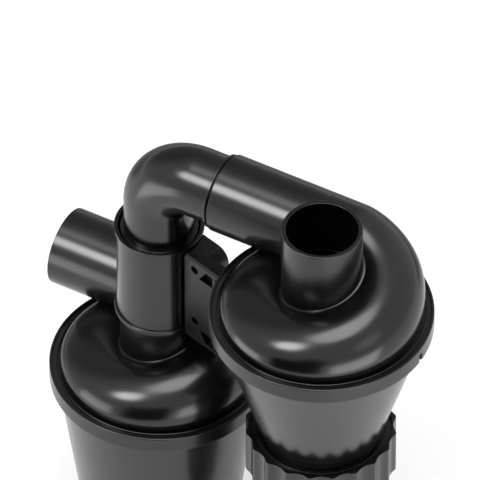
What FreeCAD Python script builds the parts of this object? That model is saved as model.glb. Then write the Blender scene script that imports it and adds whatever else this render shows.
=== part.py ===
import FreeCAD, Part
import math
import os

# Two-stage cyclone dust separator in moulded plastic. Millimetres, +Z up.
# The origin is the centre of the first stage's base, on the floor. Air enters the first stage
# along +X, leaves it upwards, turns through the elbow into the second stage, and leaves that
# one upwards. +X runs along the two inlet tubes, from the first stage to the second.

Vector = FreeCAD.Vector
up = Vector(0, 0, 1)

# ---- Ducts: one hose size runs through both stages ----
tube_outer_r = 25.0
tube_wall = 2.75
tube_offset = 38.4        # from a stage's axis to its inlet tube's axis
inlet_reach = 88.5        # from a stage's axis to its inlet tube's mouth
outlet_clear = 20.6       # outlet tube's top above the inlet tube's
outlet_dip = 45.0         # outlet tube's lower end, below the rim
socket_depth = 40.0       # how far a hose end or an elbow can be pushed in
socket_step = 0.5         # ledge that stops it
mouth_chamfer = 0.8
slide_fit = 0.1           # radial clearance of one tube in or on another
seat_gap = 0.2            # around loose rings
tube_sink = 0.8           # inlet tube's underside below the rim plane

# ---- Where the stages stand ----
first_rim = 150.0         # rim plane of the first stage, above the floor
stage_rise = 147.4        # second rim above the first
second_x = 135.7          # second axis from the first, along +X

# ---- Rim: band, lid flange, gasket and body flange ----
rim_margin = 5.8          # from the roof's edge to the band's outside
band_height = 11.2
band_wall = 1.6
band_lip = 2.2            # width of the band's flat top, from its outer edge
band_lip_thick = 1.8
band_edge_r = 0.9         # rounding of the band's outer edges
band_foot_thick = 1.2
band_foot = 1.6           # how far the lower lip reaches in from the band's wall
notch_width = 2.6
notch_height = 3.6
flange_thick = 3.0
gasket_thick = 1.4
ridge_width = 0.9
ridge_gap = 1.5           # groove between the roof and the ridge
ridge_rise = 0.3          # ridge's top above the rim plane

# ---- Roof: a round hump that falls as it winds clockwise round the outlet tube ----
roof_wall = 2.75
roof_low_height = 3.6     # roof's height after one turn, above the rim
roof_fall_power = 1.15
roof_stations = 13        # sections in each half turn
arc_points = 9

# ---- Bodies ----
body_wall = 2.5
body_step = 4.9           # from the band's outside in to the body's wall
first_base_r = 45.5       # first stage's body at the floor
cone_neck_r = 35.6        # second stage's cone at its flange
base_thick = 3.0
hoop_height = 8.0
hoop_wall = 2.4

# ---- Collar and dust jar under the second stage ----
collar_drop = 101.7       # collar's top below the second rim
collar_height = 36.0
collar_wall = 1.1         # from the collar's bore to the bottom of a valley
collar_bore_gap = 1.0     # round the jar's neck, above the web
tooth_height = 2.1
collar_teeth = 20
collar_phase = 2.0        # degrees from +X to a tooth
tooth_half_angle = 2.3
tooth_round = 0.5         # a tooth's edge below its tip
collar_chamfer = 4.5
collar_web_drop = 3.4     # web's top below the collar's top
collar_web_thick = 2.8
collar_web_clear = 1.2    # between the web and the cone
collar_ridge_in = 2.5     # from the web's edge to the ridge
collar_ridge_height = 1.6
jar_step = 7.2            # from the cone's neck out to the jar's neck
jar_wall = 2.4
jar_taper = 0.012
cone_flange_thick = 2.6

# ---- Elbow and coupling sleeve ----
elbow_wall = 2.4
elbow_bend_r = 28.5
elbow_insert = 26.0       # in the second stage's inlet tube
elbow_dip = 15.0          # in the first stage's outlet tube
elbow_stop_width = 2.2
elbow_stop_proud = 1.6
sleeve_wall = 1.5
sleeve_clear = 2.0        # sleeve's lower end above the inlet tube
sleeve_bead_proud = 1.5
sleeve_top_bead = 2.6
sleeve_low_bead = 3.6

# ---- Bracket between the sleeve and the second stage's cone ----
arm_front = 6.2           # front face, from the line between the two axes
arm_back = 3.8
arm_collar_gap = 2.3      # arm's lower edge above the collar
arm_rim_gap = 17.2        # arm's upper edge below the second stage's band
arm_under_sleeve = 1.0    # most that the arm may reach below the sleeve
sleeve_over_arm = 2.0     # sleeve's top above the arm's
arm_sleeve_gap = 0.9
arm_bevel = 1.4
tab_thick = 10.5
tab_end = 46.5            # from the first axis
tab_corner_r = 9.0
plate_gap = 0.1
screw_out = 37.0          # screws' distance from the first axis
screw_drop = 8.0          # upper screw below the arm's upper edge
screw_rise = 18.0         # lower screw above its lower edge
screw_r = 1.5
screw_head_r = 2.7
screw_head_thick = 2.0
screw_sink = 3.2
screw_clear = 0.2
pocket_depth = 4.0
pocket_end = 52.5
pocket_height = 9.0
pocket_long = 11.5
pocket_short = 5.5
upper_pocket_drop = 13.0  # upper pocket's long edge below the arm's upper edge
lower_pocket_rise = 13.0  # lower pocket's long edge above its lower edge
bay_start = 55.0
bay_rim = 3.0
bay_depth = 6.0

# ---- Worked out from the values above ----
tube_bore_r = tube_outer_r - tube_wall
tube_height = tube_outer_r - tube_sink
roof_outer_r = tube_offset + tube_outer_r
roof_inner_r = tube_outer_r + slide_fit
roof_crest_height = tube_height + tube_outer_r
outlet_rise = roof_crest_height + outlet_clear
rim_outer_r = roof_outer_r + rim_margin
body_top_r = rim_outer_r - body_step
lid_top = -band_lip_thick - seat_gap
gasket_top = lid_top - flange_thick
body_flange_top = gasket_top - gasket_thick
body_top = body_flange_top - flange_thick
flange_outer_r = rim_outer_r - band_wall - seat_gap
second_y = -tube_offset
second_rim = first_rim + stage_rise
axis_gap = math.hypot(second_x, second_y)
bracket_turn = math.degrees(math.atan2(second_y, second_x))
elbow_outer_r = tube_bore_r - slide_fit
elbow_height = second_rim + tube_height
sleeve_bore_r = tube_outer_r + slide_fit
sleeve_outer_r = sleeve_bore_r + sleeve_wall
collar_top = second_rim - collar_drop
collar_web_top = collar_top - collar_web_drop
cone_flange_top = collar_web_top - collar_web_thick - seat_gap
jar_top = cone_flange_top - cone_flange_thick - gasket_thick
jar_outer_r = cone_neck_r + jar_step
collar_inner_r = jar_outer_r + collar_bore_gap
collar_valley_r = collar_inner_r + collar_wall
collar_tip_r = collar_valley_r + tooth_height
tooth_edge_r = collar_tip_r - tooth_round
first_taper = (body_top_r - first_base_r) / (first_rim - band_height)
second_taper = (body_top_r - cone_neck_r) / (second_rim - band_height - cone_flange_top)
collar_web_inner_r = cone_neck_r + second_taper * (collar_web_top - cone_flange_top) + collar_web_clear
collar_ridge_r = collar_web_inner_r + collar_ridge_in
sleeve_bead_r = sleeve_outer_r + sleeve_bead_proud
inlet_top_at_bead = tube_height + math.sqrt(tube_outer_r**2 - (tube_offset - sleeve_bead_r)**2)
sleeve_low = first_rim + inlet_top_at_bead + sleeve_clear
arm_low = max(collar_top + arm_collar_gap, sleeve_low - arm_under_sleeve)
arm_high = second_rim - band_height - arm_rim_gap
sleeve_high = arm_high + sleeve_over_arm


def at(x, y, z):
    return Vector(x, y, z)


def ring(inner_r, outer_r, low, high):
    outer = Part.makeCylinder(outer_r, high - low, at(0, 0, low))
    return outer.cut(Part.makeCylinder(inner_r, high - low, at(0, 0, low)))


def turned(profile):
    """A solid of revolution about +Z from (radius, height) corners."""
    corners = [at(r, 0, z) for r, z in profile]
    face = Part.Face(Part.makePolygon(corners + corners[:1]))
    return face.revolve(at(0, 0, 0), up, 360)


def taper_r(taper, height):
    """Outer radius of a stage's body at a height below its rim plane."""
    return body_top_r - taper * (-band_height - height)


def tapered_wall(taper, low, high, wall):
    outer_low = taper_r(taper, low)
    outer_high = taper_r(taper, high)
    return turned([(outer_low - wall, low), (outer_low, low), (outer_high, high), (outer_high - wall, high)])


# ---- Roof ----
def roof_height(turn):
    fall = (1 - turn) ** roof_fall_power
    return roof_low_height + (roof_crest_height - roof_low_height) * fall


def roof_arc(turn, inset):
    """Side height and arched points of the roof's section after part of a turn, in (r, z)."""
    top = roof_height(turn) - inset
    half = tube_outer_r - inset
    rise = min(top, half)
    side = top - rise
    end = math.acos((roof_inner_r - tube_offset) / half)
    points = []
    for i in range(arc_points):
        angle = end * i / (arc_points - 1)
        points.append((tube_offset + half * math.cos(angle), side + rise * math.sin(angle)))
    return points


def roof_section(turn):
    outer = roof_arc(turn, 0)
    inner = roof_arc(turn, roof_wall)
    heading = math.radians(90 - 360 * turn)

    def place(point):
        return at(point[0] * math.cos(heading), point[0] * math.sin(heading), point[1])

    def arch(points):
        curve = Part.BSplineCurve()
        steps = [i / (arc_points - 1) for i in range(arc_points)]
        curve.interpolate(Points=[place(p) for p in points], Parameters=steps)
        return curve.toShape()

    outer_foot = (outer[0][0], lid_top)
    inner_foot = (inner[0][0], lid_top)
    edges = [
        Part.makeLine(place(outer_foot), place(outer[0])),
        arch(outer),
        Part.makeLine(place(outer[-1]), place(inner[-1])),
        arch(inner[::-1]),
        Part.makeLine(place(inner[0]), place(inner_foot)),
        Part.makeLine(place(inner_foot), place(outer_foot)),
    ]
    return Part.Wire(edges)


def roof_half(start):
    turns = [start + 0.5 * i / (roof_stations - 1) for i in range(roof_stations)]
    return Part.makeLoft([roof_section(t) for t in turns], True, False)


def step_wall():
    """Upright wall that closes the tall end of the roof round the inlet tube's mouth."""
    arch = [at(0, r, z) for r, z in roof_arc(0, roof_wall / 2)]
    outer_foot = at(0, arch[0].y, lid_top)
    inner_foot = at(0, arch[-1].y, lid_top)
    edges = [
        Part.makeLine(outer_foot, arch[0]),
        Part.Arc(arch[0], arch[arc_points // 2], arch[-1]).toShape(),
        Part.makeLine(arch[-1], inner_foot),
        Part.makeLine(inner_foot, outer_foot),
    ]
    wall = Part.Face(Part.Wire(edges)).extrude(at(roof_wall, 0, 0))
    return wall.cut(Part.makeCylinder(roof_inner_r, 2 * roof_crest_height, at(0, 0, lid_top)))


def inlet_cylinder(radius, length):
    mouth = at(-inlet_reach, tube_offset, tube_height)
    return Part.makeCylinder(radius, length, mouth, at(1, 0, 0))


def roof():
    port = inlet_cylinder(tube_bore_r - socket_step, inlet_reach + 2 * roof_wall)
    tall_half = roof_half(0.0).fuse(step_wall()).cut(port)
    low_half = roof_half(0.5).cut(inlet_cylinder(tube_outer_r, inlet_reach))
    return tall_half.fuse(low_half).removeSplitter()


# ---- Tubes ----
def inlet_tube():
    outer = inlet_cylinder(tube_outer_r, inlet_reach)
    bore = inlet_cylinder(tube_bore_r - socket_step, inlet_reach)
    socket = inlet_cylinder(tube_bore_r, socket_depth)
    tube = outer.cut(bore).cut(socket)
    return tube.cut(Part.makeCylinder(roof_inner_r, 2 * roof_crest_height, at(0, 0, lid_top)))


def outlet_tube():
    ledge_r = tube_bore_r - socket_step
    return turned([
        (ledge_r, -outlet_dip),
        (tube_outer_r, -outlet_dip),
        (tube_outer_r, outlet_rise - mouth_chamfer),
        (tube_outer_r - mouth_chamfer, outlet_rise),
        (tube_bore_r, outlet_rise),
        (tube_bore_r, outlet_rise - socket_depth),
        (ledge_r, outlet_rise - socket_depth),
    ])


# ---- Rim ----
def lid_flange():
    plate = ring(roof_outer_r - roof_wall - seat_gap, flange_outer_r, gasket_top, lid_top)
    ridge_r = roof_outer_r + ridge_gap
    plate = plate.fuse(ring(ridge_r, ridge_r + ridge_width, lid_top, ridge_rise))
    return plate.cut(tube_seat())


def clamp_band():
    inner_r = rim_outer_r - band_wall
    lip_r = rim_outer_r - band_lip
    foot_top = -band_height + band_foot_thick
    band = turned([
        (inner_r - band_foot, -band_height),
        (rim_outer_r, -band_height),
        (rim_outer_r, 0),
        (lip_r, 0),
        (lip_r, -band_lip_thick),
        (inner_r, -band_lip_thick),
        (inner_r, foot_top),
        (inner_r - band_foot, foot_top),
    ])
    outer_edges = [e for e in band.Edges if is_round_edge(e, rim_outer_r)]
    band = band.makeFillet(band_edge_r, outer_edges)
    corner = at(inner_r - 2 * band_foot, -notch_width / 2, -band_height)
    band = band.cut(Part.makeBox(4 * band_foot, notch_width, notch_height, corner))
    return band.cut(tube_seat())


def is_round_edge(edge, radius):
    return hasattr(edge.Curve, "Radius") and abs(edge.Curve.Radius - radius) < 0.01


def tube_seat():
    """What the rim's rings lose where the inlet tube lies across them."""
    return inlet_cylinder(tube_outer_r + seat_gap, inlet_reach)


def rim_ring(low, high):
    """A flat ring under the lid flange, as wide as the body's wall needs."""
    return ring(body_top_r - 2 * body_wall, flange_outer_r, low, high)


# ---- First stage's body: a tapered bin that stands on the floor ----
def first_body():
    return tapered_wall(first_taper, base_thick - first_rim, body_top, body_wall)


def first_base():
    return Part.makeCylinder(taper_r(first_taper, -first_rim), base_thick, at(0, 0, -first_rim))


def base_hoop(radius, wall_shape, low):
    hoop = Part.makeCylinder(radius + hoop_wall, hoop_height, at(0, 0, low))
    return hoop.cut(wall_shape)


def first_hoop():
    low_r = taper_r(first_taper, -first_rim) + slide_fit
    high_r = low_r + first_taper * hoop_height
    core = Part.makeCone(low_r, high_r, hoop_height, at(0, 0, -first_rim))
    return base_hoop(high_r, core, -first_rim)


# ---- Second stage's body: a cone, a lobed collar and a dust jar ----
def second_cone():
    return tapered_wall(second_taper, cone_flange_top - second_rim, body_top, body_wall)


def cone_outer(extra):
    low = cone_flange_top - second_rim
    low_r = taper_r(second_taper, low) + extra
    high_r = taper_r(second_taper, body_top) + extra
    return Part.makeCone(low_r, high_r, body_top - low, at(0, 0, low))


def cone_flange():
    top = cone_flange_top - second_rim
    inner_r = taper_r(second_taper, top) - body_wall
    return ring(inner_r, jar_outer_r, top - cone_flange_thick, top)


def jar_seal():
    low = jar_top - second_rim
    return ring(jar_outer_r - jar_wall, jar_outer_r, low, low + gasket_thick)


def jar_r(above_floor):
    return jar_outer_r - jar_taper * (jar_top - above_floor)


def jar_wall_shape():
    low = base_thick
    return turned([
        (jar_r(low) - jar_wall, low - second_rim),
        (jar_r(low), low - second_rim),
        (jar_r(jar_top), jar_top - second_rim),
        (jar_r(jar_top) - jar_wall, jar_top - second_rim),
    ])


def jar_base():
    return Part.makeCylinder(jar_r(0), base_thick, at(0, 0, -second_rim))


def jar_hoop():
    low_r = jar_r(0) + slide_fit
    high_r = jar_r(hoop_height) + slide_fit
    core = Part.makeCone(low_r, high_r, hoop_height, at(0, 0, -second_rim))
    return base_hoop(high_r, core, -second_rim)


def polar(radius, degrees, z):
    angle = math.radians(degrees)
    return at(radius * math.cos(angle), radius * math.sin(angle), z)


def collar_outline(low):
    edges = []
    pitch = 360 / collar_teeth
    for i in range(collar_teeth):
        tooth = collar_phase + pitch * i
        left = polar(tooth_edge_r, tooth - tooth_half_angle, low)
        right = polar(tooth_edge_r, tooth + tooth_half_angle, low)
        after = polar(tooth_edge_r, tooth + pitch - tooth_half_angle, low)
        edges.append(Part.Arc(left, polar(collar_tip_r, tooth, low), right).toShape())
        valley = polar(collar_valley_r, tooth + pitch / 2, low)
        edges.append(Part.Arc(right, valley, after).toShape())
    return Part.Face(Part.Wire(edges))


def collar_nut():
    top = -collar_drop
    low = top - collar_height
    outside_r = collar_tip_r + slide_fit
    body = collar_outline(low).extrude(at(0, 0, collar_height))
    bounds = turned([
        (0, low),
        (outside_r - collar_chamfer, low),
        (outside_r, low + collar_chamfer),
        (outside_r, top),
        (0, top),
    ])
    web_top = top - collar_web_drop
    web_low = web_top - collar_web_thick
    body = body.common(bounds)
    body = body.cut(Part.makeCylinder(collar_inner_r, collar_web_drop, at(0, 0, web_top)))
    body = body.cut(Part.makeCylinder(collar_web_inner_r, collar_web_thick, at(0, 0, web_low)))
    bore_r = jar_outer_r + slide_fit
    body = body.cut(Part.makeCylinder(bore_r, web_low - low, at(0, 0, low)))
    ridge = ring(collar_ridge_r - ridge_width / 2, collar_ridge_r + ridge_width / 2,
                 web_top, web_top + collar_ridge_height)
    return body.fuse(ridge)


# ---- Coupling sleeve and elbow, on the first stage's axis ----
def sleeve():
    return turned([
        (sleeve_bore_r, sleeve_low),
        (sleeve_bead_r, sleeve_low),
        (sleeve_bead_r, sleeve_low + sleeve_low_bead),
        (sleeve_outer_r, sleeve_low + sleeve_low_bead),
        (sleeve_outer_r, sleeve_high - sleeve_top_bead),
        (sleeve_bead_r, sleeve_high - sleeve_top_bead),
        (sleeve_bead_r, sleeve_high),
        (sleeve_bore_r, sleeve_high),
    ])


def sleeve_envelope(extra):
    """The sleeve as a solid post, grown by a clearance."""
    return Part.makeCylinder(sleeve_bead_r + extra, sleeve_high + extra)


def elbow_path(radius):
    """A solid bent rod: up the first axis, round the bend and along +X."""
    riser_low = first_rim + outlet_rise - elbow_dip
    bend_low = elbow_height - elbow_bend_r
    riser = Part.makeCylinder(radius, bend_low - riser_low, at(0, 0, riser_low))
    section = Part.Face(Part.Wire(Part.makeCircle(radius, at(0, 0, bend_low))))
    bend = section.revolve(at(elbow_bend_r, 0, bend_low), at(0, 1, 0), 90)
    run_end = second_x - inlet_reach + elbow_insert
    start = at(elbow_bend_r, 0, elbow_height)
    run = Part.makeCylinder(radius, run_end - elbow_bend_r, start, at(1, 0, 0))
    return riser.fuse(bend).fuse(run)


def elbow():
    return elbow_path(elbow_outer_r).cut(elbow_path(elbow_outer_r - elbow_wall))


def elbow_stop():
    end = second_x - inlet_reach - seat_gap
    start = at(end - elbow_stop_width, 0, elbow_height)
    outer = Part.makeCylinder(elbow_outer_r + elbow_stop_proud, elbow_stop_width, start, at(1, 0, 0))
    return outer.cut(Part.makeCylinder(elbow_outer_r + slide_fit, elbow_stop_width, start, at(1, 0, 0)))


# ---- Bracket, drawn along the line between the axes and then turned into place ----
def plate(start, end, front, back, low, high):
    return Part.makeBox(end - start, front + back, high - low, at(start, -front, low))


def turned_to_bracket(shape):
    placed = shape.copy()
    placed.rotate(at(0, 0, 0), up, bracket_turn)
    return placed


def screw_heights():
    return [arm_low + screw_rise, arm_high - screw_drop]


def screw_hole(radius, start, depth):
    holes = [Part.makeCylinder(radius, depth, at(screw_out, start, z), at(0, 1, 0)) for z in screw_heights()]
    return holes[0].fuse(holes[1])


def pocket(long_z, short_z):
    """A wedge-sided pocket in the arm's front face, long along one of its level edges."""
    corners = [
        at(pocket_end - pocket_long, -arm_front, long_z),
        at(pocket_end, -arm_front, long_z),
        at(pocket_end, -arm_front, short_z),
        at(pocket_end - pocket_short, -arm_front, short_z),
    ]
    face = Part.Face(Part.makePolygon(corners + corners[:1]))
    return face.extrude(at(0, pocket_depth, 0))


def arm_bevels(low, high, end):
    """Wedges that take the front face's long edges off."""
    wedges = []
    for edge, inward in ((low, 1), (high, -1)):
        corners = [
            at(0, -arm_front, edge),
            at(0, -arm_front + arm_bevel, edge),
            at(0, -arm_front, edge + inward * arm_bevel),
        ]
        face = Part.Face(Part.makePolygon(corners + corners[:1]))
        wedges.append(face.extrude(at(end, 0, 0)))
    return wedges[0].fuse(wedges[1])


def bracket_arm():
    upper_edge = arm_high - upper_pocket_drop
    lower_edge = arm_low + lower_pocket_rise
    arm = plate(0, axis_gap, arm_front, arm_back, arm_low, arm_high)
    arm = arm.cut(sleeve_envelope(arm_sleeve_gap))
    arm = arm.cut(pocket(upper_edge, upper_edge + pocket_height))
    arm = arm.cut(pocket(lower_edge, lower_edge - pocket_height))
    arm = arm.cut(arm_bevels(arm_low, arm_high, axis_gap))
    bay_back = bay_depth - arm_front
    arm = arm.cut(plate(bay_start, axis_gap, arm_front, bay_back, arm_low + bay_rim, arm_high - bay_rim))
    arm = arm.cut(screw_hole(screw_r + screw_clear, -arm_front, arm_front + arm_back))
    arm = arm.cut(screw_hole(screw_head_r + screw_clear, -arm_front, screw_sink))
    cone = cone_outer(plate_gap)
    cone.translate(at(second_x, second_y, second_rim))
    return turned_to_bracket(arm).cut(cone)


def sleeve_tab():
    height = arm_high - arm_low
    back = arm_back + plate_gap + tab_thick
    tab = plate(0, tab_end, -arm_back - plate_gap, back, arm_low, arm_high)
    far_edges = [e for e in tab.Edges if is_far_corner(e)]
    tab = tab.makeFillet(tab_corner_r, far_edges)
    tab = tab.cut(Part.makeCylinder(sleeve_outer_r + plate_gap, height, at(0, 0, arm_low)))
    tab = tab.cut(bead_envelope(arm_low, sleeve_low + sleeve_low_bead + plate_gap))
    tab = tab.cut(bead_envelope(sleeve_high - sleeve_top_bead - plate_gap, arm_high))
    tab = tab.cut(screw_hole(screw_r + screw_clear, 0, back))
    return turned_to_bracket(tab)


def is_far_corner(edge):
    middle = edge.CenterOfMass
    level = abs(edge.Vertexes[0].Z - edge.Vertexes[-1].Z) < 1
    across = abs(edge.Vertexes[0].X - edge.Vertexes[-1].X) < 1
    return level and across and middle.x > tab_end - 1


def bead_envelope(low, high):
    return Part.makeCylinder(sleeve_bead_r + plate_gap, high - low, at(0, 0, low))


def bracket_screws():
    """Two screws that hold the arm to the tab, with their heads sunk in the arm."""
    head_front = -arm_front + screw_sink - screw_head_thick
    shank_start = head_front + screw_head_thick
    shank_end = arm_back + plate_gap + tab_thick
    screws = []
    for z in screw_heights():
        head = Part.makeCylinder(screw_head_r, screw_head_thick, at(screw_out, head_front, z), at(0, 1, 0))
        shank_at = at(screw_out, shank_start, z)
        shank = Part.makeCylinder(screw_r, shank_end - shank_start, shank_at, at(0, 1, 0))
        screws.append(head.fuse(shank))
    return turned_to_bracket(Part.makeCompound(screws))


# ---- Put each piece in place and write it out ----
def placed(shape, x, y, z):
    moved = shape.copy()
    moved.translate(at(x, y, z))
    return moved


def save(name, shape):
    shape.exportStep("parts/" + name + ".step")


def stage_pieces():
    """The pieces that both stages have, about the stage's axis and rim plane."""
    return {
        "roof": roof(),
        "inlet_tube": inlet_tube(),
        "outlet_tube": outlet_tube(),
        "lid_flange": lid_flange(),
        "lid_gasket": rim_ring(body_flange_top, gasket_top),
        "body_flange": rim_ring(body_top, body_flange_top),
        "clamp_band": clamp_band(),
    }


def main():
    os.makedirs("parts", exist_ok=True)
    first_place = (0, 0, first_rim)
    second_place = (second_x, second_y, second_rim)
    for name, shape in stage_pieces().items():
        save("first_stage_" + name, placed(shape, *first_place))
        save("second_stage_" + name, placed(shape, *second_place))
    save("first_stage_body", placed(first_body(), *first_place))
    save("first_stage_base", placed(first_base(), *first_place))
    save("first_stage_hoop", placed(first_hoop(), *first_place))
    save("second_stage_cone", placed(second_cone(), *second_place))
    save("cone_flange", placed(cone_flange(), *second_place))
    save("collar_nut", placed(collar_nut(), *second_place))
    save("jar_seal", placed(jar_seal(), *second_place))
    save("dust_jar_wall", placed(jar_wall_shape(), *second_place))
    save("dust_jar_base", placed(jar_base(), *second_place))
    save("dust_jar_hoop", placed(jar_hoop(), *second_place))
    save("coupling_sleeve", sleeve())
    save("elbow", elbow())
    save("elbow_stop", elbow_stop())
    save("bracket_arm", bracket_arm())
    save("sleeve_tab", sleeve_tab())
    save("bracket_screws", bracket_screws())


main()
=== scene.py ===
import bmesh
import bpy
import math
from mathutils import Matrix, Vector


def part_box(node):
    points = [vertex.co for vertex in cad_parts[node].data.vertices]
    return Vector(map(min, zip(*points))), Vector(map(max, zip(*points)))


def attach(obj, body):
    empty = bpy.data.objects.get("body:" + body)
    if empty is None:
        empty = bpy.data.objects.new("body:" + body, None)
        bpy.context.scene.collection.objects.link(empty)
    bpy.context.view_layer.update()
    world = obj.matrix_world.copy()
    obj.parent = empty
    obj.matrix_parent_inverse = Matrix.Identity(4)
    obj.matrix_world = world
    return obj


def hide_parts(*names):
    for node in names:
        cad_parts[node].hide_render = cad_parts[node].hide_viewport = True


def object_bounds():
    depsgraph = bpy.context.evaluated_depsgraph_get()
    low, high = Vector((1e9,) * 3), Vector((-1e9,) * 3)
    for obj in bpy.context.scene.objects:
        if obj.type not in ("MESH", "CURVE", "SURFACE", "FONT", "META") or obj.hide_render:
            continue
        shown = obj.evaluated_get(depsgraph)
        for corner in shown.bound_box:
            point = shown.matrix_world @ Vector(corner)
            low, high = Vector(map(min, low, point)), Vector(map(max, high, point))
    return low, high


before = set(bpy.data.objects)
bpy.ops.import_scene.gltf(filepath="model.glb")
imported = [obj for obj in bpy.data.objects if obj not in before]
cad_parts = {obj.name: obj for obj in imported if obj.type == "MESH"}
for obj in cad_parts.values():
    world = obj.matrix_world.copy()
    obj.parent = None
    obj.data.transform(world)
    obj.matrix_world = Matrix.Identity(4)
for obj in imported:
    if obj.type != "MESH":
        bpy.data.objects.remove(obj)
cad_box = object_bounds()

# Looks of a two-stage cyclone dust separator in moulded black plastic. Metres, +Z up, in the
# frame of the CAD model: the origin is the centre of the first stage's base on the floor, and
# +X runs along the two inlet tubes. Sizes come from the boxes of the CAD nodes. What a box
# doesn't show, such as a wall or a rounding, is a named value here.

MM = 0.001

# ---- Ducts ----
TUBE_WALL = 2.75 * MM
SOCKET_DEPTH = 40 * MM        # how far a hose end goes in
SOCKET_STEP = 0.3 * MM        # ledge at the socket's end
LIP_ROUND = 0.7 * MM
INNER_LIP_ROUND = 0.35 * MM
TUBE_SIDES = 96               # facets round the inlet tube
TURNED_SIDES = 192

# ---- Roof ----
ROOF_WALL = 2.75 * MM
ROOF_LOW = 3.6 * MM           # height after one turn
ROOF_POWER = 1.15
ROOF_START = 0.02             # share of a turn over which the fall sets in
ROOF_CUT = 0.1 * MM           # between the roof and the outlet tube
ROOF_STATIONS = 160
FOOT_LEAN = 0.9 * MM          # how far the roof's foot draws in
FOOT_LEAN_RISE = 10 * MM      # height at which it is back to its full width
FOOT_STEPS = 6
NECK_STATIONS = 10            # where the inlet tube opens round the outlet tube
FILLET_REACH = 1.5 * MM       # moulded fillet at the outlet tube's foot
FILLET_RISE = 1.3 * MM
FILLET_SINK = 1.0 * MM
FILLET_STEPS = 5

# ---- Rim ----
BAND_WALL = 1.6 * MM
BAND_LIP = 1.7 * MM
BAND_LIP_THICK = 1.8 * MM
BAND_FOOT = 1.6 * MM
BAND_FOOT_THICK = 1.2 * MM
BAND_ROUND = 0.7 * MM
NOTCH_WIDTH = 3.4 * MM
NOTCH_HEIGHT = 6.8 * MM
NOTCH_DEPTH = 1.3 * MM
NOTCH_CUT = 9.6 * MM          # length of the block that cuts the notch, outwards
RIDGE_GAP = 0.7 * MM          # from the roof's edge to the ridge
PLATE_DROP = 0.8 * MM         # lid's plate below the band's upper edge
LIP_GAP = 0.1 * MM            # between the plate and the band's lip
RIDGE_WIDTH = 0.9 * MM
RIDGE_ROUND = 0.44 * MM
EDGE_ROUND = 0.3 * MM

# ---- Bodies ----
BODY_WALL = 2.5 * MM
CONE_NECK = 35.6 * MM         # cone's outer radius at its flange
JAR_WALL = 2.4 * MM
HOOP_ROUND = 0.8 * MM

# ---- Collar ----
COLLAR_TEETH = 20
COLLAR_PHASE = 2.0            # degrees from +X to a tooth
TOOTH_HALF = 2.3              # degrees, half of a tooth's flat
TOOTH_HEIGHT = 2.1 * MM
TOOTH_ROUND = 0.5 * MM
TOOTH_REACH = 0.2 * MM        # how far inside a valley a point still counts as the outer side
COLLAR_WALL = 1.1 * MM        # behind a valley
COLLAR_CHAMFER = 4.5 * MM
WEB_DROP = 3.4 * MM
WEB_THICK = 2.8 * MM
WEB_INNER = 37.7 * MM
RIDGE_IN = 2.5 * MM
RIDGE_HEIGHT = 1.6 * MM
COLLAR_SIDES = 360

# ---- Elbow and sleeve ----
ELBOW_WALL = 2.4 * MM
ELBOW_BEND = 28.5 * MM
BEND_STEPS = 40
SLEEVE_WALL = 1.5 * MM
SLEEVE_TOP_BEAD = 2.6 * MM
SLEEVE_LOW_BEAD = 3.6 * MM
SLEEVE_BEAD = 1.5 * MM
SLEEVE_BEAD_ROUND = 0.9 * MM
SLEEVE_TOP_ROUND = 0.45 * MM
SLEEVE_GROOVE = 1.0 * MM      # width of the groove in its upper edge, and of the land outside it
SLEEVE_GROOVE_DROP = 0.7 * MM
SLEEVE_SEAT = 0.6 * MM        # width of the slope inside its upper edge
SLEEVE_SEAT_DROP = 2.4 * MM
STOP_GAP = 1.6 * MM           # between the stop ring and the second inlet tube
STOP_WIDTH = 1.6 * MM
STOP_PROUD = 0.3 * MM
CUFF_R = 24.3 * MM            # elbow's cuff, inside the sleeve
CUFF_DROP = 0.9 * MM
CUFF_LENGTH = 9 * MM

# ---- Bracket screws ----
SCREW_OUT = 37.0 * MM         # from the first axis
SCREW_DROP = 8.0 * MM         # below the arm's upper edge
SCREW_RISE = 18.0 * MM        # above its lower edge
SCREW_FACE = 6.2 * MM         # arm's front face from its centre line
SCREW_SINK = 2.0 * MM         # head's face below the arm's front
SCREW_HEAD = 2.7 * MM
SCREW_HEAD_THICK = 2.0 * MM
SCREW_HEAD_ROUND = 0.6 * MM
SCREW_SHANK = 1.5 * MM
SCREW_SIDES = 48
SLOT_HALF = 0.45 * MM         # half the width of a slot in the head
SLOT_REACH = 1.5 * MM         # from the screw's axis to a slot's end
SLOT_DEPTH = 1.1 * MM
SLOT_CUT = 2 * MM             # height of the block that cuts a slot

# ---- Bracket ----
ARM_EASE = 0.4 * MM           # width of the arm's eased edges
TAB_EASE = 0.6 * MM
EASE_STEPS = 3
EASE_ANGLE = 32               # degrees, above which an edge is eased
FLAT_ANGLE = 1                # degrees, below which faces are made one

# ---- Finishes ----
DARKEST = 0.001               # darkest grey of the plastics
FLOW_SCALE = 38               # faint flow pattern in the plastic
WAVE_SCALE = 60               # its broad unevenness
GRAIN_SCALE = 900             # its fine moulded grain
WAVE_DEPTH = 0.4 * MM
WAVE_STRENGTH = 0.05
GRAIN_DEPTH = 0.05 * MM
NOISE_LOW = 0.3               # part of a noise's range that is stretched to a full one
NOISE_HIGH = 0.7
SHARP_ANGLE = 38              # degrees, above which an edge is shaded sharp
NORMAL_WEIGHT = 60

# ---- Points ----
SQUARE = ((-1, -1), (1, -1), (1, 1), (-1, 1))
CLOSE = 1e-7                  # points this near are one
SEAM = 1e-6                   # the same, where two sheets or loose triangles meet

# ---- Camera ----
VIEW_TURN = 29.1              # degrees
VIEW_LIFT = 45.5
VIEW_ACROSS = 49.94 * MM      # view's centre, along its own right and up
VIEW_UPWARD = 179.9 * MM
VIEW_WIDTH = 297.8 * MM
VIEW_DISTANCE = 9.0
NEAREST = 0.1
FARTHEST = 60
SENSOR = 36.0

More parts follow.
